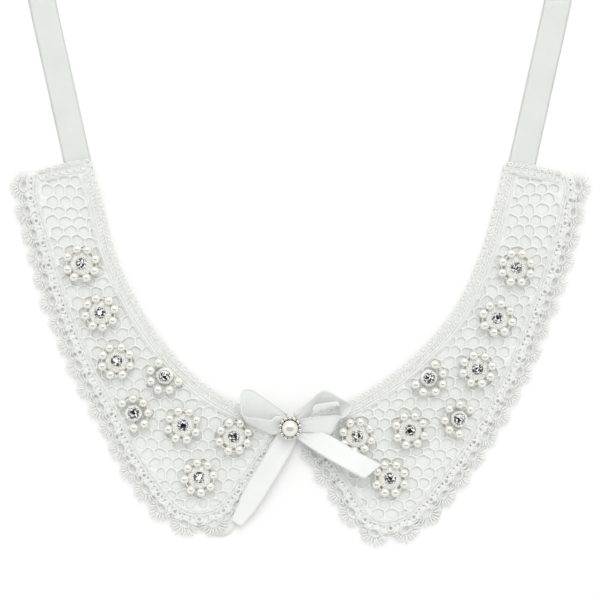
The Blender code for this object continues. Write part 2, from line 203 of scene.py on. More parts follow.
# %% Settle a drawing as a piece
def settle(name, shape, finishes, stands_for=(), smooth=True):
    bmesh.ops.scale(shape, vec=(MM, MM, MM), verts=shape.verts)
    bmesh.ops.translate(shape, vec=shift, verts=shape.verts)
    mesh = bpy.data.meshes.new(name)
    shape.to_mesh(mesh)
    shape.free()
    if smooth:
        mesh.shade_smooth()
    piece = bpy.data.objects.new(name, mesh)
    for finish in finishes:
        mesh.materials.append(finish)
    scene.collection.objects.link(piece)
    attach(piece, "root")
    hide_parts(*stands_for)
    triangles = sum(len(face.vertices) - 2 for face in mesh.polygons)
    print(name, "has", triangles, "triangles")
    return piece


# %% Stamp a small mesh into a drawing
def as_template(shape):
    mesh = bpy.data.meshes.new("template")
    shape.to_mesh(mesh)
    shape.free()
    return mesh


def stamp(shape, template, place, turn=0.0, size=(1, 1, 1), tilt=0.0):
    before = len(shape.verts)
    shape.from_mesh(template)
    shape.verts.ensure_lookup_table()
    added = shape.verts[before:]
    move = (
        Matrix.Translation(place)
        @ Matrix.Rotation(turn, 4, "Z")
        @ Matrix.Rotation(tilt, 4, "X")
        @ Matrix.Diagonal((*size, 1))
    )
    bmesh.ops.transform(shape, matrix=move, verts=added)
    return added


# %% Cords along lines, and cloth cut with holes
def mesh_of(curve):
    guide = bpy.data.objects.new("guide", curve)
    scene.collection.objects.link(guide)
    mesh = bpy.data.meshes.new_from_object(guide.evaluated_get(bpy.context.evaluated_depsgraph_get()))
    bpy.data.objects.remove(guide)
    return mesh


def add_spline(curve, points, closed):
    spline = curve.splines.new("POLY")
    spline.points.add(len(points) - 1)
    for point, place in zip(spline.points, points):
        point.co = (*place, 1)
    spline.use_cyclic_u = closed


def cords(shape, lines, radius, closed=False, roundness=1):
    """Adds a round cord along each line of points to a drawing."""
    curve = bpy.data.curves.new("cords", "CURVE")
    curve.dimensions = "3D"
    curve.bevel_depth = radius
    curve.bevel_resolution = roundness
    curve.use_fill_caps = not closed
    for line in lines:
        add_spline(curve, line, closed)
    tubes = bmesh.new()
    tubes.from_mesh(mesh_of(curve))
    bmesh.ops.remove_doubles(tubes, verts=tubes.verts, dist=0.001)
    shape.from_mesh(as_template(tubes))


def cut_cloth(loops, low, high, rounding):
    """A flat cloth with an outline and holes, whose cut edges are all rounded."""
    curve = bpy.data.curves.new("cloth", "CURVE")
    curve.dimensions = "2D"
    curve.fill_mode = "BOTH"
    curve.extrude = (high - low) / 2 - rounding
    curve.bevel_depth = rounding
    curve.bevel_resolution = 1
    curve.offset = -rounding
    for loop in loops:
        add_spline(curve, [(x, y, 0) for x, y in loop], True)
    shape = bmesh.new()
    shape.from_mesh(mesh_of(curve))
    bmesh.ops.remove_doubles(shape, verts=shape.verts, dist=0.001)
    bmesh.ops.translate(shape, verts=shape.verts, vec=(0, 0, (low + high) / 2))
    bmesh.ops.recalc_face_normals(shape, faces=shape.faces)
    return shape


def drape(x, y):
    """How far the laid cloth stands up at a place, from its soft unevenness."""
    return 0.22 * noise.noise(Vector((x, y, 0)) / 17.0) + 0.06 * noise.noise(Vector((x, y, 9)) / 5.0)


def lift(shape):
    for vert in shape.verts:
        vert.co.z += drape(vert.co.x, vert.co.y)


# %% [markdown]
# ## Finishes
#
# All the cloth here is white, so the finishes differ in how they take the light. Satin has fine
# parallel threads and a soft gloss. Lace is matt, with a rough surface of tiny stitches. Patterns
# that follow a ribbon read its UV map. The others read Object coordinates, which are in metres, so
# a scale of 3000 makes a grain of a third of a millimetre.

# %% A helper that starts a finish
def new_finish(name, colour, roughness, **sockets):
    finish = bpy.data.materials.new(name)
    finish.use_nodes = True
    tree = finish.node_tree
    shader = tree.nodes["Principled BSDF"]
    shader.inputs["Base Color"].default_value = (*colour, 1)
    shader.inputs["Roughness"].default_value = roughness
    for socket, value in sockets.items():
        shader.inputs[socket.replace("_", " ")].default_value = value
    return finish, tree, shader


def node(tree, kind, **values):
    made = tree.nodes.new(kind)
    for name, value in values.items():
        if name in made.inputs:
            made.inputs[name].default_value = value
        else:
            setattr(made, name, value)
    return made


def mottle(tree, shader, vector, scale, dark, light):
    """A soft cloudy change between two colours."""
    cloud = node(tree, "ShaderNodeTexNoise", Scale=scale, Detail=3.0)
    mix = node(tree, "ShaderNodeValToRGB")
    mix.color_ramp.elements[0].position = 0.35
    mix.color_ramp.elements[1].position = 0.65
    mix.color_ramp.elements[0].color = (*dark, 1)
    mix.color_ramp.elements[1].color = (*light, 1)
    tree.links.new(vector, cloud.inputs["Vector"])
    tree.links.new(cloud.outputs["Fac"], mix.inputs["Fac"])
    tree.links.new(mix.outputs["Color"], shader.inputs["Base Color"])


def raise_by(tree, shader, height, distance, strength=1.0):
    bump = node(tree, "ShaderNodeBump", Strength=strength, Distance=distance)
    tree.links.new(height, bump.inputs["Height"])
    tree.links.new(bump.outputs["Normal"], shader.inputs["Normal"])


# %% Lace thread
LIGHT_PASSES = {"Subsurface_Weight": 0.45, "Subsurface_Radius": (1.0, 1.0, 1.0), "Subsurface_Scale": 0.0011}


def lace_finish(name, dark, light):
    finish, tree, shader = new_finish(name, light, 0.8, **LIGHT_PASSES)
    place = node(tree, "ShaderNodeTexCoord").outputs["Object"]
    mottle(tree, shader, place, 400.0, dark, light)
    stitches = node(tree, "ShaderNodeTexWave", Scale=1300.0, Distortion=9.0, Detail=2.0)
    stitches.inputs["Detail Scale"].default_value = 0.8
    tree.links.new(place, stitches.inputs["Vector"])
    raise_by(tree, shader, stitches.outputs["Fac"], 0.00006, 0.5)
    return finish


lace_thread = lace_finish("white lace", (0.81, 0.82, 0.795), (0.87, 0.88, 0.855))
print("made", lace_thread.name)

# %% Satin, for the lining and for the ribbon
def satin_finish(name, colour, roughness, coordinates, scale, passes=0.45):
    """Satin: fine floats that run one way, over a softly clouded colour."""
    finish, tree, shader = new_finish(name, colour, roughness, **{**LIGHT_PASSES, "Subsurface_Weight": passes})
    place = node(tree, "ShaderNodeTexCoord").outputs[coordinates]
    fitted = node(tree, "ShaderNodeMapping", Scale=scale)
    tree.links.new(place, fitted.inputs["Vector"])
    floats = node(tree, "ShaderNodeTexWave", Scale=1.0, Distortion=0.6, Detail=1.0)
    tree.links.new(fitted.outputs["Vector"], floats.inputs["Vector"])
    raise_by(tree, shader, floats.outputs["Fac"], 0.00004, 0.5)
    tint = node(tree, "ShaderNodeTexCoord").outputs["Object"]
    shade = tuple(0.96 * part for part in colour)
    mottle(tree, shader, tint, 60.0, shade, colour)
    return finish


lining_satin = satin_finish("lining satin", (0.865, 0.88, 0.855), 0.5, "Object", (900.0, 250.0, 250.0))
# Painted light: the bow and the ties are one ribbon, but the bow's satin is painted lighter than the ties' satin.
ribbon_satin = satin_finish("ribbon satin", (0.85, 0.865, 0.855), 0.5, "UV", (9.0, 120.0, 1.0), 0.25)
tie_satin = satin_finish("tie satin", (0.785, 0.805, 0.785), 0.36, "UV", (9.0, 120.0, 1.0))
print("made", lining_satin.name, ribbon_satin.name, tie_satin.name)

# %% Pearl, stone and metal
def pearl_finish():
    """Imitation pearl: a cream core under a clear lustrous coat, with painted shade darker and greener towards its
    sides.
    """
    finish, tree, shader = new_finish(
        "pearl", (0.80, 0.79, 0.70), 0.15, Metallic=0.45, Coat_Weight=1.0, Coat_Roughness=0.04
    )
    # Painted shade: the colour turns darker and greener where the surface turns from the camera, round the outline of
    # each pearl and of the button's pearl.
    facing = node(tree, "ShaderNodeLayerWeight", Blend=0.35)
    blend = node(tree, "ShaderNodeValToRGB")
    blend.color_ramp.elements[0].color = (0.94, 0.93, 0.89, 1)
    blend.color_ramp.elements[1].color = (0.62, 0.64, 0.52, 1)
    tree.links.new(facing.outputs["Facing"], blend.inputs["Fac"])
    tree.links.new(blend.outputs["Color"], shader.inputs["Base Color"])
    return finish


def stone_finish():
    """Glass over foil with painted glints: each facet's colour is painted dark, grey or white by a random number kept
    in a face attribute.
    """
    finish, tree, shader = new_finish("cut stone", (0.5, 0.5, 0.5), 0.08, Metallic=0.0, Coat_Weight=1.0)
    painted_sparkle = node(tree, "ShaderNodeAttribute", attribute_name="painted_sparkle")
    steps = node(tree, "ShaderNodeValToRGB")
    steps.color_ramp.interpolation = "CONSTANT"
    steps.color_ramp.elements[0].color = (0.015, 0.015, 0.015, 1)
    steps.color_ramp.elements[1].position = 0.66
    steps.color_ramp.elements[1].color = (1.0, 1.0, 1.0, 1)
    middle = steps.color_ramp.elements.new(0.58)
    middle.color = (0.25, 0.26, 0.27, 1)
    tree.links.new(painted_sparkle.outputs["Fac"], steps.inputs["Fac"])
    tree.links.new(steps.outputs["Color"], shader.inputs["Base Color"])
    return finish


def metal_finish(name, colour, worn, roughness):
    """Metal mottled in soft cloudy patches between its colour and a worn colour."""
    finish, tree, shader = new_finish(name, colour, roughness, Metallic=1.0)
    place = node(tree, "ShaderNodeTexCoord").outputs["Object"]
    mottle(tree, shader, place, 1200.0, colour, worn)
    return finish


pearl = pearl_finish()
cut_stone = stone_finish()
silver = metal_finish("silver claw", (0.75, 0.75, 0.72), (0.96, 0.96, 0.94), 0.25)
bronze = metal_finish("aged bronze", (0.16, 0.13, 0.07), (0.36, 0.31, 0.19), 0.35)
print("made", pearl.name, cut_stone.name, silver.name, bronze.name)

# %% [markdown]
# ## The lining
#
# Behind the lace lies a white satin lining. It is wider than the lace's net, and near each front
# point it slipped out past the edging. A flat panel with an odd outline could be a filled curve, but
# then it would have no inner points to bend. Here a grid is pulled between two lines instead: its one
# side follows the neckline, its other side the edge, and the rows between them can rise and fall.

# %% The lining's two sides
FANS_END_BEFORE = 9.0
LINING_PAST_EDGE = 3.0
LINING_SHOWS_WIDTH = 7.0
LINING_INSIDE_NECK = 1.5
LINING_BELOW_TOP = 2.0
LINING_SHOWS = {"left": (-37.5, -97.5, 12.2), "right": (55.0, -92.5, 10.4)}


def lining_sides(half):
    neck = moved_out(half.neck, -LINING_INSIDE_NECK, half.side)
    edge = half.edge
    at = lengths_along(edge)
    *place, reach = LINING_SHOWS[half.name]
    shows = at[np.linalg.norm(edge - place, axis=1).argmin()]
    bulge = np.exp(-(((at - shows) / LINING_SHOWS_WIDTH) ** 2))
    past = LINING_PAST_EDGE + bulge * (reach - LINING_PAST_EDGE)
    past *= np.clip((at[-1] - at) / FANS_END_BEFORE, 0, 1)
    edge = moved_out(edge, past, half.side)
    top = moved_out(half.top, -LINING_BELOW_TOP, half.side)
    neck = neck[neck[:, 1] < top[:, 1].max()]
    edge = edge[edge[:, 1] < top[:, 1].min()][::-1]
    return np.vstack([neck, top[:1]]), np.vstack([edge, top[-1:]])


def spaced(line, count):
    along = lengths_along(line)
    at = np.linspace(0, along[-1], count)
    return np.column_stack([np.interp(at, along, line[:, axis]) for axis in range(line.shape[1])])


# %% Pull a grid between two lines
def thicken(shape, wall):
    """Gives an open sheet a second side, one wall behind it, and closes its border."""
    shape.normal_update()
    behind = {vert: vert.co - vert.normal * wall for vert in shape.verts}
    bmesh.ops.extrude_face_region(shape, geom=shape.faces[:])
    for vert, place in behind.items():
        vert.co = place
    bmesh.ops.recalc_face_normals(shape, faces=shape.faces)


def pulled_grid(one, other, across, wall, height):
    """A thin cloth between two lines with as many points each. height(x, y, share) gives its top."""
    shape = bmesh.new()
    shape.loops.layers.uv.new("UVMap")
    count = len(one)
    bmesh.ops.create_grid(shape, x_segments=count - 1, y_segments=across, size=1, calc_uvs=True)
    for vert in shape.verts:
        row = round((vert.co.x + 1) / 2 * (count - 1))
        share = (vert.co.y + 1) / 2
        x, y = one[row] + (other[row] - one[row]) * share
        vert.co = (x, y, height(x, y, share))
    shape.normal_update()
    if sum(face.normal.z for face in shape.faces) < 0:
        bmesh.ops.reverse_faces(shape, faces=shape.faces)
    thicken(shape, wall)
    return shape


def area_of(loop):
    x, y = np.array(loop).T
    return abs(np.dot(x, np.roll(y, -1)) - np.dot(y, np.roll(x, -1))) / 2


def smallest_cut(loop):
    """Width and length, in metres, of the smallest straight piece of cloth that a shape fits on."""
    sizes = []
    for turn in np.radians(range(0, 90, 3)):
        along = loop @ (math.cos(turn), math.sin(turn))
        across = loop @ (-math.sin(turn), math.cos(turn))
        sizes.append((float(np.ptp(along)) * MM, float(np.ptp(across)) * MM))
    return min(sizes, key=math.prod)


LINING_ROWS, LINING_ACROSS, LINING_WALL = 120, 22, 0.5
for half in halves:
    neck_side, edge_side = (spaced(line, LINING_ROWS) for line in lining_sides(half))
    shape = pulled_grid(
        neck_side, edge_side, LINING_ACROSS, LINING_WALL, lambda x, y, share: LINING_TOP + drape(x, y)
    )
    name = f"satin_lining_{half.name}"
    settle(name, shape, [lining_satin], [f"lining_{half.name}"])
    outline = np.vstack([neck_side, edge_side[::-1]])
    cut = smallest_cut(outline)
    print(name, "is cut from", [round(1000 * side) for side in cut], "mm")

# %% [markdown]
# ## The net
#
# Guipure lace is stitched on a backing that is then dissolved, so its net has no weave: rounded cells
# stand side by side with a cord of stitches between them. One could lay hundreds of tubes, but their
# ends would show at every crossing. Cutting rounded holes in one cloth gives the smooth joins of the
# real net. The cells come from a slightly shaken honeycomb. Each is cut back along the borders, then
# shrunk by half a cord on every side, and its corners are rounded off.

# %% Clip and round a cell
def clipped(polygon, point, normal):
    """The part of a convex polygon that lies behind a line, given its outward normal."""
    kept = []
    for start, end in zip(polygon, np.roll(polygon, -1, axis=0)):
        before, after = (start - point) @ normal, (end - point) @ normal
        if before <= 0:
            kept.append(start)
        if before * after < 0:
            kept.append(start + (end - start) * before / (before - after))
    return np.array(kept).reshape(-1, 2)


def shrunk(polygon, by):
    """A convex polygon that runs counterclockwise, with each side moved in."""
    inner = polygon
    for start, end in zip(polygon, np.roll(polygon, -1, axis=0)):
        along = (end - start) / max(np.linalg.norm(end - start), 1e-6)
        normal = np.array([along[1], -along[0]])
        if len(inner):
            inner = clipped(inner, start - normal * by, normal)
    return inner


def rounded(polygon, cuts):
    """Cuts every corner off twice over, which leaves a round outline."""
    for share in cuts:
        following = np.roll(polygon, -1, axis=0)
        near = polygon + (following - polygon) * share
        far = following + (polygon - following) * share
        polygon = np.column_stack([near, far]).reshape(-1, 2)
    return polygon


# %% The honeycomb of a half
CELL_PITCH, CELL_ROW, CELL_SHIFT = 5.7, 4.6, 1.5
BAR = 0.72
NECK_BAND, TOP_BAND, EDGE_BAND = 6.4, 5.2, 1.5
SMALLEST_CELL = 3.2


def is_inside(point, loop):
    x, y = point
    start, end = loop, np.roll(loop, -1, axis=0)
    crosses = (start[:, 1] > y) != (end[:, 1] > y)
    rise = np.where(crosses, end[:, 1] - start[:, 1], 1)
    where = start[:, 0] + (y - start[:, 1]) * (end[:, 0] - start[:, 0]) / rise
    return np.count_nonzero(crosses & (x < where)) % 2 == 1


def honeycomb(low, high):
    """Shaken centres in staggered rows, by row and column."""
    chance = random.Random(7)
    rows = int((high[1] - low[1]) / CELL_ROW) + 1
    columns = int((high[0] - low[0]) / CELL_PITCH) + 1
    centres = {}
    for row in range(rows):
        for column in range(columns):
            x = low[0] + (column + 0.5 * (row % 2)) * CELL_PITCH + chance.uniform(-CELL_SHIFT, CELL_SHIFT)
            y = low[1] + row * CELL_ROW + chance.uniform(-CELL_SHIFT, CELL_SHIFT)
            centres[row, column] = np.array([x, y])
    return centres


def cell_corners(centres, row, column):
    """Each corner of a cell is the middle of three neighbouring centres."""
    right = row % 2
    around = [
        (row, column + 1), (row + 1, column + right), (row + 1, column + right - 1),
        (row, column - 1), (row - 1, column + right - 1), (row - 1, column + right),
    ]
    if any(place not in centres for place in around):
        return None
    middle = centres[row, column]
    pairs = zip(around, around[1:] + around[:1])
    return np.array([(middle + centres[one] + centres[other]) / 3 for one, other in pairs])


def net_cells(half):
    borders = [
        (moved_out(half.neck, -NECK_BAND, half.side), half.side),
        (moved_out(half.top, -TOP_BAND, half.side), half.side),
        (moved_out(half.edge, -EDGE_BAND, half.side), half.side),
    ]
    loop = np.vstack([half.neck[:-1], half.top[:-1], half.edge])
    centres = honeycomb(loop.min(axis=0), loop.max(axis=0))
    cells = []
    for row, column in centres:
        cell = cell_corners(centres, row, column)
        if cell is None or not is_inside(centres[row, column], loop):
            continue
        for line, side in borders:
            gaps = np.linalg.norm(line - centres[row, column], axis=1)
            if gaps.min() < NECK_BAND + CELL_PITCH and len(cell):
                place, _, outward = on_line(line, lengths_along(line)[[gaps.argmin()]], side)
                cell = clipped(cell, place[0], outward[0])
        cell = shrunk(cell, BAR / 2) if len(cell) > 2 else cell
        if len(cell) > 2 and area_of(cell) > SMALLEST_CELL:
            cells.append(rounded(cell, (0.19, 0.25)))
    return cells


cells = {half.name: net_cells(half) for half in halves}
print("cells", {name: len(found) for name, found in cells.items()})

# %% [markdown]
# ## The ground of the lace
#
# Net, bands and edging are one cloth on the real lace, so their ground is cut as one: an outline with
# a scallop for each fan, the net's cells, and an oval hole in each fan.

# %% Fans along the edge
FAN_PITCH, FANS_START = 10.6, 1.5
FAN_CENTRE = 4.8
FAN_HOLE = (1.8, 1.1)
SCALLOP = (3.5, 2.7)
FAN_VALLEY = 3.5
EYELETS = [(-3.4, 1.3), (-1.4, 1.35), (1.4, 1.35), (3.4, 1.3)]
EYELET_RADIUS = 0.36
RING_OUT, RING_HOLE = 2.1, 0.6


def fan_places(half):
    along = lengths_along(half.edge)[-1] - FANS_START - FANS_END_BEFORE
    count = round(along / FAN_PITCH)
    pitch = along / count
    middles = on_line(half.edge, FANS_START + (np.arange(count) + 0.5) * pitch, half.side)
    valleys = on_line(half.edge, FANS_START + np.arange(count + 1) * pitch, half.side)
    return middles, valleys[0] + valleys[2] * FAN_VALLEY


def ring_places(half):
    """Where a small ring sits between every two fans."""
    along = lengths_along(half.edge)[-1] - FANS_START - FANS_END_BEFORE
    count = round(along / FAN_PITCH)
    at = FANS_START + np.arange(1, count) * along / count
    place, tangent, outward = on_line(half.edge, at, half.side)
    return place + outward * RING_OUT, tangent, outward


def oval(centre, along, outward, turns):
    return centre + np.outer(np.cos(turns), along) + np.outer(np.sin(turns), outward)


def ground_outline(half):
    (places, tangents, outwards), valleys = fan_places(half)
    points = list(half.neck[:-1:2]) + list(half.top[:-1:3])
    turns = np.radians(np.linspace(165, 15, 9))
    for valley, place, tangent, outward in zip(valleys, places, tangents, outwards):
        points.append(valley)
        centre = place + outward * FAN_CENTRE
        points += list(oval(centre, tangent * SCALLOP[0], outward * SCALLOP[1], turns))
    return np.array(points + [valleys[-1], half.edge[-1]])


def fan_holes(half):
    """The oval hole of each fan, and the eyelets between it and the sewn cords."""
    (places, tangents, outwards), _ = fan_places(half)
    turns = np.arange(20) / 20 * 2 * math.pi
    chance = random.Random(5)
    holes = []
    for place, tangent, outward in zip(places, tangents, outwards):
        holes.append(oval(place + outward * FAN_CENTRE, tangent * FAN_HOLE[0], outward * FAN_HOLE[1], turns))
        for along, out in EYELETS:
            centre = place + tangent * (along + chance.uniform(-0.2, 0.2)) + outward * (out + chance.uniform(-0.3, 0.3))
            radius = EYELET_RADIUS * chance.uniform(0.55, 1.1)
            holes.append(oval(centre, tangent * radius, outward * radius, turns[::2]))
    for place, tangent, outward in zip(*ring_places(half)):
        holes.append(oval(place, tangent * RING_HOLE, outward * RING_HOLE, turns[::2]))
    return holes


GROUND_ROUNDING = 0.33
for half in halves:
    outline = ground_outline(half)
    holes = [*cells[half.name], *fan_holes(half)]
    shape = cut_cloth([outline, *holes], *LACE_Z, GROUND_ROUNDING)
    lift(shape)
    name = f"lace_ground_{half.name}"
    settle(name, shape, [lace_thread], [f"lace_{half.name}"])

# %% [markdown]
# ## Cords and picots
#
# Raised cords run along the borders: three beside the neckline, two at the top, and a pair where
# the edging starts. A row of slanted stitches fills the neckline's band, and small oval picots edge
# the neckline and the top. Each kind is one small mesh, stamped as often as the line is long.

# %% A ring, turned from a small circle
def ring_template(radius, thickness, steps=16):
    shape = bmesh.new()
    small = bmesh.ops.create_circle(shape, segments=6, radius=thickness)
    bmesh.ops.rotate(shape, verts=small["verts"], matrix=Matrix.Rotation(math.pi / 2, 3, "X"))
    bmesh.ops.translate(shape, verts=small["verts"], vec=(radius, 0, 0))
    bmesh.ops.spin(
        shape, geom=shape.verts[:] + shape.edges[:], axis=(0, 0, 1), cent=(0, 0, 0),
        angle=2 * math.pi, steps=steps, use_merge=True,
    )
    bmesh.ops.recalc_face_normals(shape, faces=shape.faces)
    return as_template(shape)


def bead_template(radius, segments, rings):
    shape = bmesh.new()
    bmesh.ops.create_uvsphere(shape, u_segments=segments, v_segments=rings, radius=radius)
    return as_template(shape)


def stitch_template(length, radius):
    """A short thread that dips into the cloth at both ends, lying along Y."""
    shape = bmesh.new()
    turns = np.linspace(0, math.pi, 6)
    line = [(0, -length / 2 * math.cos(turn), 0.45 * math.sin(turn)) for turn in turns]
    cords(shape, [line], radius, roundness=0)
    return as_template(shape)


picot = ring_template(1.0, 0.42, 14)
small_ring = ring_template(1.2, 0.5, 16)
edge_ring = ring_template(1.3, 0.5, 16)
stitch = stitch_template(1.9, 0.3)
catch_stitch = stitch_template(1.9, 0.17)

# %% Cords beside the lines
PICOT_PITCH = 3.7
NECK_CORDS = (-1.9, -4.2, -5.6)
TOP_CORDS = (-1.3, -4.6)
EDGE_CORDS = (0.35, -0.95)
CORD_RADIUS = 0.5
STITCH_PITCH = 1.7


def raised(line, height):
    return [(x, y, height + drape(x, y)) for x, y in line]


def along_line(shape, template, line, side, pitch, out, height, free=(0.0, 0.0), **how):
    """Stamps a template every pitch along a line, and leaves the line's two ends free."""
    length = lengths_along(line)[-1] - sum(free)
    count = round(length / pitch)
    places = on_line(line, free[0] + (np.arange(count) + 0.5) * length / count, side)
    slant = how.pop("slant", 0.0)
    for place, tangent, outward in zip(*places):
        x, y = place + outward * out
        turn = math.atan2(tangent[1], tangent[0]) + slant
        stamp(shape, template, (x, y, height + drape(x, y)), turn, **how)


for half in halves:
    shape = bmesh.new()
    lines = []
    for line, offsets in ((half.neck[:-3], NECK_CORDS), (half.top[2:], TOP_CORDS), (half.edge[1:], EDGE_CORDS)):
        lines += [raised(moved_out(line, offset, half.side)[1:-1], CORD_Z) for offset in offsets]
    cords(shape, lines, CORD_RADIUS)
    along_line(shape, stitch, half.neck, half.side, STITCH_PITCH, -3.0, CORD_Z - 0.2, (0.0, 5.0), slant=0.5 * half.side)
    along_line(shape, small_ring, half.top, half.side, 3.1, -2.9, CORD_Z, (1.2, 0.0))
    for line in (half.neck, half.top):
        along_line(shape, picot, line, half.side, PICOT_PITCH, -0.4, CORD_Z, size=(1.2, 0.85, 1))
    along_line(shape, catch_stitch, half.edge, half.side, 4.3, -0.3, CORD_Z + 0.25)
    settle(f"lace_cords_{half.name}", shape, [lace_thread])

# %% [markdown]
# ## The fan edging
#
# Each fan is a raised oval rim with a comb of pointed picots on its outer side. Between two fans a
# small ring sits against the cord. One fan is modelled and stamped along the edge. It is stretched a
# little where the edge turns, because there the fans stand further apart.

# %% One fan and one ring
FAN_RIM = (2.6, 1.85)
FAN_RIM_THICKNESS = 0.55
SPIKES, SPIKE_SPREAD = 13, 106.0
SPIKE_FROM, SPIKE_TIP = 2.2, 6.3


def fan_template(seed):
    chance = random.Random(seed)
    shape = bmesh.new()
    rim = ring_template(FAN_RIM[0], FAN_RIM_THICKNESS, 22)
    stamp(shape, rim, (0, 0, 0), size=(1, FAN_RIM[1] / FAN_RIM[0], 1))
    spike = bmesh.new()
    length = SPIKE_TIP - SPIKE_FROM
    bmesh.ops.create_cone(
        spike, cap_ends=True, segments=6, radius1=0.48, radius2=0.28, depth=length,
        matrix=Matrix.Translation((0, SPIKE_FROM + length / 2, -0.1)) @ Matrix.Rotation(-math.pi / 2, 4, "X"),
    )
    spike = as_template(spike)
    for step in range(SPIKES):
        angle = math.radians(SPIKE_SPREAD * (1 - 2 * step / (SPIKES - 1)) + chance.uniform(-4, 4))
        reach = chance.uniform(0.88, 1.04)
        stamp(shape, spike, (0, 0, 0), angle, size=(1, reach, 1), tilt=chance.uniform(-0.03, 0.05))
    for x in (-1.5, 1.5):
        cords(shape, [[(x, -1.9, -0.1), (x * 1.3, -4.3, -0.1)]], 0.4, roundness=0)
    return as_template(shape)


fans = [fan_template(seed) for seed in range(5)]
print("a fan has", len(fans[0].polygons), "faces")

# %% Stamp the edging
for half in halves:
    shape = bmesh.new()
    (places, tangents, outwards), valleys = fan_places(half)
    gaps = np.linalg.norm(np.diff(valleys, axis=0), axis=1) / FAN_PITCH
    for number, (place, tangent, outward) in enumerate(zip(places, tangents, outwards)):
        x, y = place + outward * FAN_CENTRE
        turn = math.atan2(outward[1], outward[0]) - math.pi / 2
        width = float(np.clip(gaps[number], 0.85, 1.15))
        stamp(shape, fans[number % len(fans)], (x, y, CORD_Z + drape(x, y)), turn, size=(width, 1, 1))
    for (x, y), tangent, _ in zip(*ring_places(half)):
        stamp(shape, edge_ring, (x, y, CORD_Z + drape(x, y)), math.atan2(tangent[1], tangent[0]))
    settle(f"fan_edging_{half.name}", shape, [lace_thread])

# %% Find the smallest straight cut of each half's lace
for half in halves:
    cut = smallest_cut(ground_outline(half))

# %% [markdown]
# ## The ribbon
#
# Ties, bow loops and tails are all the same 12 mm satin ribbon. Its form follows a short table of
# stations: the upper and the lower edge at each. A grid is pulled through them, with a soft gather
# that dies away from the button. A woven edge, drawn as a fine cord, keeps the ribbon from fraying.

# %% The stations of the bow, upper edge then lower edge, in millimetres
BOW = {
    "loop_left": [
        (-5.6, -51.6, 6.6, -7.6, -56.6, 5.0),
        (-13.6, -45.9, 8.5, -14.5, -56.0, 4.4),
        (-21.6, -40.6, 9.0, -20.6, -54.2, 4.2),
        (-26.1, -41.2, 9.2, -23.6, -53.4, 4.0),
        (-26.4, -46.8, 10.4, -24.6, -54.2, 3.8),
        (-25.4, -52.0, 11.4, -23.8, -56.0, 3.8),
        (-18.4, -53.4, 11.2, -18.0, -58.6, 3.8),
        (-13.4, -54.2, 10.0, -13.4, -60.8, 3.8),
        (-10.6, -52.6, 8.4, -10.8, -60.8, 4.0),
        (-6.6, -53.0, 7.0, -7.6, -60.4, 4.2),
    ],
    "loop_right": [
        (-2.9, -51.4, 6.4, -1.2, -56.6, 5.1),
        (3.6, -46.2, 10.0, 4.8, -51.6, 4.4),
        (10.6, -40.6, 12.2, 6.1, -47.5, 3.8),
        (17.3, -43.6, 12.2, 12.7, -46.1, 3.8),
        (23.2, -47.6, 11.4, 17.5, -45.9, 3.8),
        (19.8, -52.6, 11.4, 18.2, -51.6, 4.4),
        (16.4, -52.0, 11.0, 14.3, -60.2, 5.6),
        (10.4, -52.4, 10.6, 9.2, -60.2, 6.0),
        (4.5, -53.0, 9.2, 4.2, -59.4, 6.0),
        (-1.2, -54.4, 7.0, -1.6, -59.6, 5.4),
    ],
    "tail_left": [
        (-9.6, -60.0, 4.4, -2.6, -61.4, 4.2),
        (-12.4, -64.6, 4.3, -2.4, -65.0, 4.6),
        (-18.0, -74.2, 3.9, -7.6, -74.6, 5.6),
        (-24.4, -84.6, 3.5, -13.8, -84.8, 5.9),
        (-28.4, -93.6, 3.4, -20.4, -95.0, 4.8),
        (-31.0, -100.0, 3.3, -27.0, -102.7, 3.6),
    ],
    "tail_right": [
        (-0.6, -56.0, 4.2, -2.4, -61.8, 4.0),
        (5.0, -58.2, 4.4, 1.4, -64.6, 5.2),
        (13.6, -61.4, 7.0, 8.4, -68.9, 8.6),
        (25.3, -68.3, 7.9, 19.3, -75.2, 10.2),
        (36.6, -74.5, 7.9, 29.0, -80.4, 9.6),
    ],
}

# %% Pull a ribbon through stations
RIBBON_WALL = 0.35
SELVEDGE = 0.24
GATHER_REACH = 7.0


def ribbon_drawing(stations, per_span, across, gathers):
    """A ribbon through its stations. gathers is how deep its pleats are at the button."""
    edges = smooth_line(stations, per_span)
    upper, lower = edges[:, :3], edges[:, 3:]
    middle = (upper + lower) / 2
    from_button = np.linalg.norm(middle[:, :2] - BUTTON, axis=1)
    along = np.gradient(middle, axis=0)
    normal = np.cross(along, lower - upper)
    normal /= np.linalg.norm(normal, axis=1)[:, None]
    depth = gathers * np.exp(-((from_button / GATHER_REACH) ** 2))
    shape = bmesh.new()
    shape.loops.layers.uv.new("UVMap")
    bmesh.ops.create_grid(shape, x_segments=len(edges) - 1, y_segments=across, size=1, calc_uvs=True)
    for vert in shape.verts:
        row = round((vert.co.x + 1) / 2 * (len(edges) - 1))
        share = (vert.co.y + 1) / 2
        pleat = depth[row] * math.cos(share * 5 * math.pi)
        vert.co = upper[row] + (lower[row] - upper[row]) * share + normal[row] * pleat
    thicken(shape, RIBBON_WALL)
    cords(shape, [upper + normal * depth[:, None], lower - normal * depth[:, None]], SELVEDGE, roundness=1)
    length = lengths_along(middle)[-1]
    return shape, length


for name, stations in BOW.items():
    shape, length = ribbon_drawing(stations, 14, 16, 0.25)
    piece = settle(f"satin_{name}", shape, [ribbon_satin], [f"bow_{name}"])
    print(name, "takes", round(length), "mm of ribbon")

# %% The ties
TIE = [
    (-100.1, 57.3), (-109.4, 99.4), (-117.5, 136.4), (-122.8, 168.0), (-124.8, 205.0), (-125.0, 252.0),
]
RIBBON_WIDTH = 12.0
TIE_TOP = 0.5

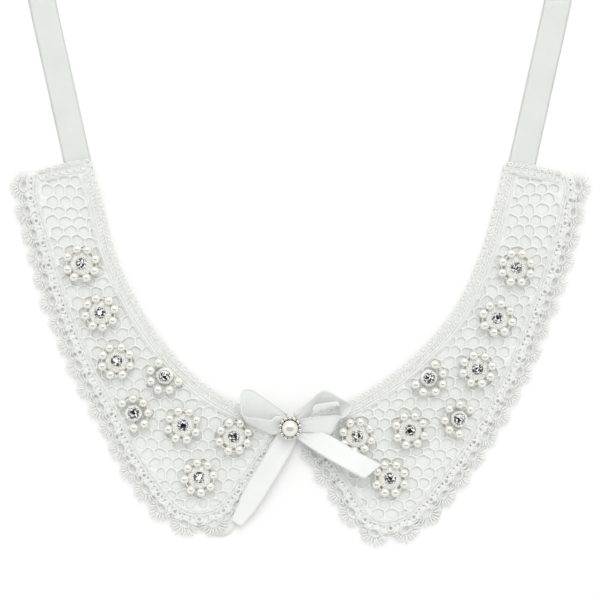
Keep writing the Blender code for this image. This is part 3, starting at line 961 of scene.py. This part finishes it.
for name, mirror in (("left", 1), ("right", -1)):
    line = spaced(smooth_line(TIE), 90)
    left, right = (moved_out(line, by, 1) * (mirror, 1) for by in (-RIBBON_WIDTH / 2, RIBBON_WIDTH / 2))
    tie = pulled_grid(
        left, right, 10, RIBBON_WALL,
        lambda x, y, share: TIE_TOP + 0.12 * noise.noise(Vector((x / 9, y / 22, 3))),
    )
    for side in (left, right):
        cords(tie, [[(x, y, TIE_TOP - 0.2) for x, y in side]], SELVEDGE)
    piece = settle(f"satin_tie_{name}", tie, [tie_satin], [f"ribbon_tie_{name}"])
    length = lengths_along(line)[-1]
    print("tie", name, "is", round(length), "mm long")

# %% [markdown]
# ## The knot and its button
#
# A short length of ribbon is gathered round the middle of the bow, and a shank button hides it. The
# gathers are a turned form whose outline is pushed in and out round the middle. The button has a
# metal cup, a rim of bright beads with dark gaps between them, and a pearl in the cup.

# %% The gathered knot
def turned(profile, steps):
    shape = bmesh.new()
    verts = [shape.verts.new((radius, 0, height)) for radius, height in profile]
    for start, end in zip(verts, verts[1:]):
        shape.edges.new((start, end))
    bmesh.ops.spin(
        shape, geom=shape.verts[:] + shape.edges[:], axis=(0, 0, 1), cent=(0, 0, 0),
        angle=2 * math.pi, steps=steps, use_merge=True,
    )
    bmesh.ops.remove_doubles(shape, verts=shape.verts, dist=0.001)
    bmesh.ops.recalc_face_normals(shape, faces=shape.faces)
    return shape


KNOT_RADIUS = 4.2
low, high = KNOT_Z
profile = [(0, low), (3.2, low), (4.0, low + 0.7), (KNOT_RADIUS, low + 2.1), (4.0, high - 0.7), (3.2, high), (0, high)]
knot = turned(profile, 48)
for vert in knot.verts:
    turn = math.atan2(vert.co.y, vert.co.x)
    pleat = 1 - 0.06 * (1 + math.cos(12 * turn))
    vert.co.x *= pleat
    vert.co.y *= pleat
bmesh.ops.translate(knot, verts=knot.verts, vec=(*BUTTON, 0))
settle("gathered_knot", knot, [ribbon_satin], ["bow_knot"])

# %% The button's cup and its beads
CUP_RADIUS = 5.0
CUP_Z = (7.2, 8.6)
BEADS, BEAD_RADIUS = 14, 0.94
PEARL_FLOOR = 8.5
BUTTON_PEARL = (3.65, 2.8)


low, high = CUP_Z
cup = turned([(0, low), (4.3, low), (CUP_RADIUS, low + 0.6), (4.9, high), (4.2, high), (3.9, 8.2), (0, 8.2)], 40)
bmesh.ops.translate(cup, verts=cup.verts, vec=(*BUTTON, 0))
settle("button_cup", cup, [bronze], ["button_setting"])

rim = bmesh.new()
bead = bead_template(BEAD_RADIUS, 14, 10)
for step in range(BEADS):
    turn = (step + 0.5) / BEADS * 2 * math.pi
    x = BUTTON[0] + 4.4 * math.cos(turn)
    y = BUTTON[1] + 4.4 * math.sin(turn)
    stamp(rim, bead, (x, y, high + 0.1), turn)
settle("button_beads", rim, [silver])

button_pearl = bmesh.new()
dome = bead_template(1.0, 40, 24)
stamp(button_pearl, dome, (*BUTTON, PEARL_FLOOR + BUTTON_PEARL[1]), size=(BUTTON_PEARL[0], *BUTTON_PEARL))
settle("button_dome", button_pearl, [pearl], ["button_pearl"])

# %% [markdown]
# ## The flowers
#
# Each flower is a ring of pearls round a cut stone in claws. On two flowers of each half a pair of
# pearls is missing, as on the real collar. The pearls are sewn through with a thread, drawn as a thin
# cord through their middles.

# %% The flowers: half, number, x, y, angle of the first pearl in degrees, pearls
FLOWERS = [
    ("left", 1, -99.1, 16.4, 20.0, 8),
    ("left", 2, -90.7, -5.9, 12.0, 8),
    ("left", 3, -83.2, -27.7, 24.0, 8),
    ("left", 4, -61.4, -34.5, 112.0, 6),
    ("left", 5, -75.5, -51.4, -90.0, 6),
    ("left", 6, -53.2, -56.8, 18.0, 8),
    ("left", 7, -30.0, -62.0, 21.0, 8),
    ("left", 8, -45.7, -80.5, 8.0, 8),
    ("right", 1, 98.2, 14.5, 22.0, 8),
    ("right", 2, 89.5, -8.2, 30.0, 8),
    ("right", 3, 80.5, -31.4, 14.0, 8),
    ("right", 4, 58.6, -35.5, -158.0, 6),
    ("right", 5, 72.3, -54.1, 45.0, 6),
    ("right", 6, 50.0, -59.1, 26.0, 8),
    ("right", 7, 25.9, -61.8, 31.0, 8),
    ("right", 8, 40.9, -80.9, 20.0, 8),
]
PEARL_RADIUS, PEARL_RING = 2.1, 6.7
STEP = 2 * math.pi / 8

# %% Pearls on their thread
small_pearl = bead_template(PEARL_RADIUS, 22, 16)
ROSETTE_LOOPS = 14
PAD_WITH_GAP = 0.72
pad_shape = bmesh.new()
bmesh.ops.create_cone(pad_shape, cap_ends=True, segments=28, radius1=5.4, radius2=4.9, depth=0.5)
pad = as_template(pad_shape)
# Painted light: the pad's thread glows a little, an emission that stands in for the light the pearls throw on it. The
# setting grains round each stone take this finish too.
pad_thread_painted_glow = lace_finish("flower thread with painted glow", (0.90, 0.91, 0.87), (0.95, 0.955, 0.92))
pad_glow_shader = pad_thread_painted_glow.node_tree.nodes["Principled BSDF"]
pad_glow_shader.inputs["Emission Color"].default_value = (0.96, 0.97, 0.92, 1)
pad_glow_shader.inputs["Emission Strength"].default_value = 0.07


def rosette_loop(x, y, middle, reach):
    """A loop of sewing thread that runs out from the stone and back."""
    line = []
    for turn in np.linspace(0, math.pi, 7):
        radius = 2.5 + (reach - 2.5) * math.sin(turn)
        angle = middle - 0.2 * math.cos(turn)
        line.append((x + radius * math.cos(angle), y + radius * math.sin(angle), 3.62 - 0.1 * math.sin(turn)))
    return line


chance = random.Random(3)
for half_name, number, x, y, start, pearls in FLOWERS:
    shape = bmesh.new()
    turns = [math.radians(start) + n * STEP for n in range(pearls)]
    for turn in turns:
        turn += math.radians(chance.uniform(-3.5, 3.5))
        ring = PEARL_RING + chance.uniform(-0.15, 0.15)
        size = chance.uniform(0.97, 1.04)
        place = (x + ring * math.cos(turn), y + ring * math.sin(turn), PEARL_Z + drape(x, y))
        stamp(shape, small_pearl, place, turn, size=(size, size, size))
    thread = np.linspace(turns[0], turns[-1] + (STEP if pearls == 8 else 0), 6 * pearls)
    lines = [[(x + PEARL_RING * math.cos(turn), y + PEARL_RING * math.sin(turn), PEARL_Z - 0.6) for turn in thread]]
    spread = 1.0 if pearls == 8 else PAD_WITH_GAP
    for petal in range(ROSETTE_LOOPS):
        middle = (petal + chance.uniform(-0.2, 0.2)) / ROSETTE_LOOPS * 2 * math.pi
        lines.append(rosette_loop(x, y, middle, spread * chance.uniform(3.9, 5.3)))
    beads = len(shape.faces)
    cords(shape, lines, 0.3, roundness=0)
    stamp(shape, pad, (x, y, 3.05), size=(spread, spread, 1))
    shape.faces.ensure_lookup_table()
    for face in shape.faces[beads:]:
        face.material_index = 1
    name = f"pearl_ring_{half_name}_{number}"
    settle(name, shape, [pearl, pad_thread_painted_glow], [f"pearls_{half_name}_{number}"])

# %% [markdown]
# A cut stone is the hull of a few rings of points, which makes its facets without listing them. Each
# facet's glint is painted into its colour: some facets are painted white, as light that the foil behind
# the glass would throw back, and others painted dark.

# %% Stones in their claws
STONE_RADIUS, STONE_BASE, STONE_HEIGHT = 2.62, 2.85, 2.3
CLAWS = 4
SETTING_GRAINS = 18
setting_grain = bead_template(0.36, 8, 6)


def faceted(chance):
    shape = bmesh.new()
    tiers = [(0.96, 0.0, 14, 0.0), (1.0, 0.32, 14, 0.0), (0.84, 0.66, 14, 0.5), (0.64, 0.88, 14, 0.0), (0.4, 1.0, 7, 0.5)]
    for size, level, count, turn in tiers:
        move = Matrix.Translation((0, 0, level * STONE_HEIGHT)) @ Matrix.Rotation(turn * 2 * math.pi / count, 4, "Z")
        bmesh.ops.create_circle(shape, segments=count, radius=STONE_RADIUS * size, matrix=move)
    for vert in shape.verts:
        vert.co.z += chance.uniform(-0.1, 0.1)
    hull = bmesh.ops.convex_hull(shape, input=shape.verts)
    inside = [part for part in hull["geom_interior"] if isinstance(part, bmesh.types.BMVert)]
    bmesh.ops.delete(shape, geom=inside, context="VERTS")
    bmesh.ops.delete(shape, geom=[edge for edge in shape.edges if edge.is_wire], context="EDGES")
    bmesh.ops.recalc_face_normals(shape, faces=shape.faces)
    return as_template(shape)


chance = random.Random(11)
for half_name, number, x, y, _, _ in FLOWERS:
    shape = bmesh.new()
    painted_sparkle = shape.faces.layers.float.new("painted_sparkle")
    shape.from_mesh(faceted(chance))
    # A random number per facet picks its painted glint: near black, grey or white.
    for face in shape.faces:
        face[painted_sparkle] = chance.random()
    bmesh.ops.rotate(shape, verts=shape.verts, matrix=Matrix.Rotation(chance.uniform(0, 1), 3, "Z"))
    facets = len(shape.faces)
    for claw in range(CLAWS):
        turn = (claw + 0.5) / CLAWS * 2 * math.pi
        inside, outside = STONE_RADIUS * 0.72, STONE_RADIUS + 0.15
        line = [(outside * math.cos(turn), outside * math.sin(turn), level) for level in (0.0, 0.9, 1.5)]
        line.append((inside * math.cos(turn), inside * math.sin(turn), 2.15))
        cords(shape, [line], 0.27, roundness=1)
    claws_end = len(shape.faces)
    for grain in range(SETTING_GRAINS):
        turn = grain / SETTING_GRAINS * 2 * math.pi
        radius = STONE_RADIUS + 0.3
        stamp(shape, setting_grain, (radius * math.cos(turn), radius * math.sin(turn), 1.2))
    shape.faces.index_update()
    shape.faces.ensure_lookup_table()
    for face in shape.faces[facets:]:
        face.material_index = 1 if face.index < claws_end else 2
        face.smooth = True
    bmesh.ops.translate(shape, verts=shape.verts, vec=(x, y, STONE_BASE))
    # The setting grains take the pad's thread, with its painted glow.
    settle(
        f"stone_cut_{half_name}_{number}", shape, [cut_stone, silver, pad_thread_painted_glow],
        [f"stone_{half_name}_{number}"], smooth=False,
    )

# %% [markdown]
# ## Floor and light
#
# The collar lies on white. Soft light comes from the far side of the table, so the upper bar of every
# cell throws a small shadow into it. The tent round the table is white too, but for a dark opening
# overhead where the camera looks in: pearls and stones mirror it.

# %% Lay the floor
FLOOR_SIZE = 2.4
floor_shape = bmesh.new()
bmesh.ops.create_grid(floor_shape, x_segments=1, y_segments=1, size=FLOOR_SIZE / 2)
floor_mesh = bpy.data.meshes.new("floor")
floor_shape.to_mesh(floor_mesh)
floor_shape.free()
floor = bpy.data.objects.new("floor", floor_mesh)
floor_finish, floor_tree, floor_shader = new_finish("white floor", (0.91, 0.91, 0.91), 0.9)
floor_shader.inputs["Emission Color"].default_value = (1, 1, 1, 1)
floor_shader.inputs["Emission Strength"].default_value = 0.02
floor_mesh.materials.append(floor_finish)
scene.collection.objects.link(floor)
floor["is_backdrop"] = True

# %% Light the tent
world = bpy.data.worlds.new("light tent")
scene.world = world
world.use_nodes = True
tree = world.node_tree
direction = node(tree, "ShaderNodeTexCoord").outputs["Generated"]
mirrored = node(tree, "ShaderNodeLightPath").outputs["Is Glossy Ray"]


def patch(middle, narrow, reach, before, colour):
    """A round or wide patch of the tent, of another brightness, that only mirrored rays see."""
    narrowed = node(tree, "ShaderNodeVectorMath", operation="MULTIPLY")
    narrowed.inputs[1].default_value = (narrow, 1.0, 1.0)
    level = node(tree, "ShaderNodeVectorMath", operation="NORMALIZE")
    towards = node(tree, "ShaderNodeVectorMath", operation="DOT_PRODUCT")
    towards.inputs[1].default_value = Vector(middle).normalized()
    share = node(tree, "ShaderNodeMapRange")
    share.inputs["From Min"].default_value = math.cos(math.radians(reach + 5))
    share.inputs["From Max"].default_value = math.cos(math.radians(reach - 5))
    both = node(tree, "ShaderNodeMath", operation="MULTIPLY")
    tent = node(tree, "ShaderNodeMix", data_type="RGBA")
    tent.inputs["B"].default_value = (*colour, 1)
    tree.links.new(direction, narrowed.inputs[0])
    tree.links.new(narrowed.outputs["Vector"], level.inputs[0])
    tree.links.new(level.outputs["Vector"], towards.inputs[0])
    tree.links.new(towards.outputs["Value"], share.inputs["Value"])
    tree.links.new(share.outputs["Result"], both.inputs[0])
    tree.links.new(mirrored, both.inputs[1])
    tree.links.new(both.outputs["Value"], tent.inputs["Factor"])
    tree.links.new(before, tent.inputs["A"])
    return tent.outputs["Result"]


cloth = node(tree, "ShaderNodeRGB").outputs["Color"]
cloth.default_value = (0.87, 0.87, 0.865, 1)
opened = patch((0.0, -0.1, 1.0), 0.5, 28, cloth, (0.06, 0.06, 0.06))
windowed = patch((0.1, 0.78, 0.8), 0.7, 17, opened, (2.6, 2.6, 2.6))
tree.links.new(windowed, tree.nodes["Background"].inputs["Color"])

sun_data = bpy.data.lights.new("far light", "SUN")
sun_data.energy = 1.0
sun_data.angle = math.radians(38)
sun = bpy.data.objects.new("far light", sun_data)
sun.rotation_euler = Vector((-0.12, -0.62, -0.80)).to_track_quat("-Z", "Y").to_euler()
scene.collection.objects.link(sun)
scene.view_settings.view_transform = "Standard"
print("lit")

# %% Print the two boxes and finish
boxes = {"cad": [list(corner) for corner in cad_box], "visual": [list(corner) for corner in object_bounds()]}
for name, (low, high) in boxes.items():
    print(name, [round(1000 * (b - a), 1) for a, b in zip(low, high)], "mm")
